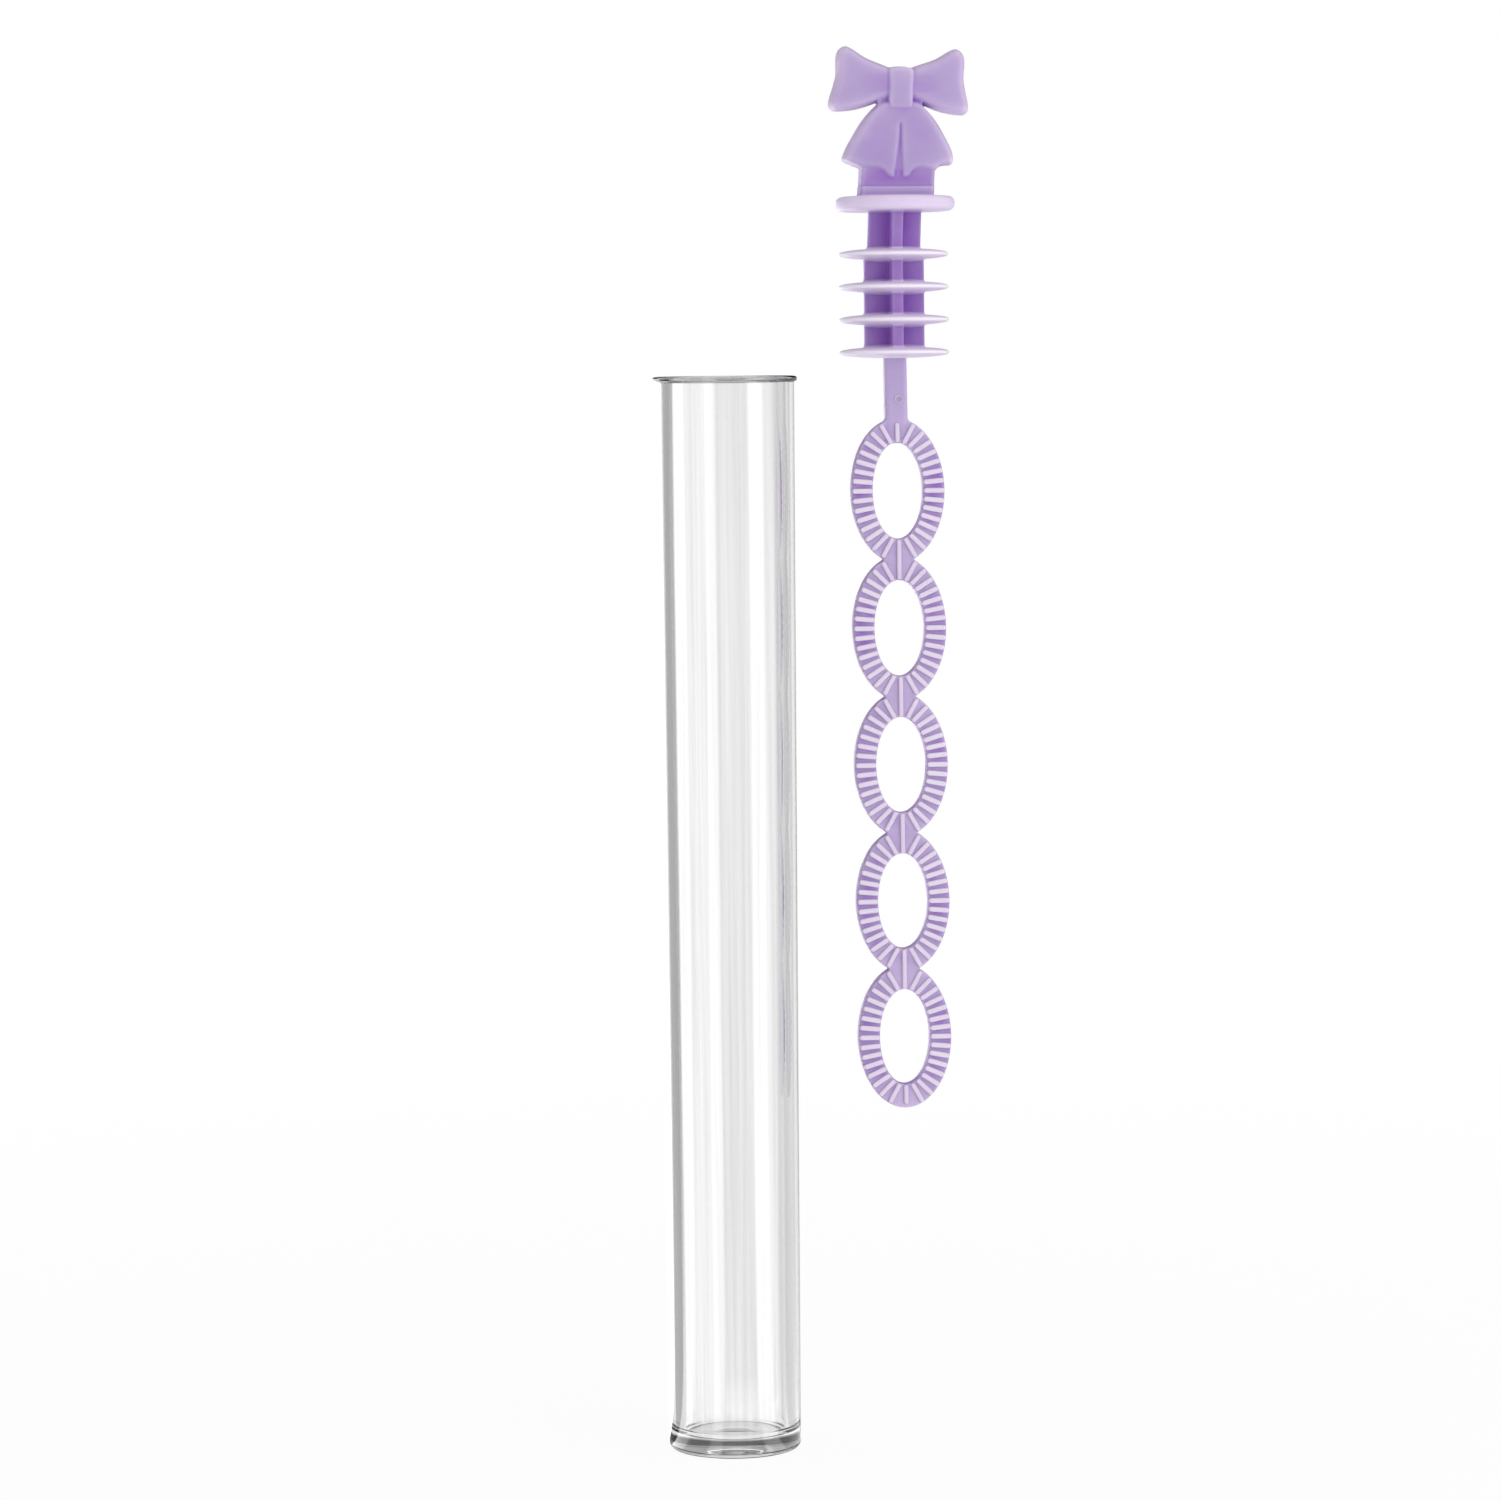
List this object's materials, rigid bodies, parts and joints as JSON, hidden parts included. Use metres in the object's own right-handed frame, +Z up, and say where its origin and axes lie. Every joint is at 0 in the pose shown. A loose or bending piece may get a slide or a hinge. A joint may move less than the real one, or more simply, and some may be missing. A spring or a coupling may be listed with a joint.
{
  "type": "bubble wand",
  "caption": "Clear round soap tube with a one-piece lavender wand standing beside it: bow grip, stop flange, sealing discs on a cross spine and a chain of ribbed oval bubble rings.",
  "frame": {"origin": "middle of the tube's foot, on the surface that the tube stands on", "axes": "+Z up the tube's axis, +X from the tube towards the wand beside it, front of the bow faces -Y"},
  "size_m": [0.0311, 0.0142, 0.138],
  "materials": {
    "clear_plastic": "clear gloss",
    "lavender_plastic": "satin"
  },
  "bodies": {
    "tube": {"tube": "clear_plastic"},
    "wand": {"bow_wing_left": "lavender_plastic", "bow_wing_right": "lavender_plastic", "bow_knot": "lavender_plastic", "bow_tails": "lavender_plastic", "neck": "lavender_plastic", "stop_flange": "lavender_plastic", "plug_spine": "lavender_plastic", "seal_disc_1": "lavender_plastic", "seal_disc_2": "lavender_plastic", "seal_disc_3": "lavender_plastic", "seal_disc_4": "lavender_plastic", "stem": "lavender_plastic", "bubble_ring_1": "lavender_plastic", "bubble_ring_2": "lavender_plastic", "bubble_ring_3": "lavender_plastic", "bubble_ring_4": "lavender_plastic", "bubble_ring_5": "lavender_plastic"}
  },
  "joints": [
    {"name": "wand_lift", "type": "slide", "parent": "tube", "child": "wand", "axis": [0, 0, 1], "range_m": [0, 0.08]}
  ]
}
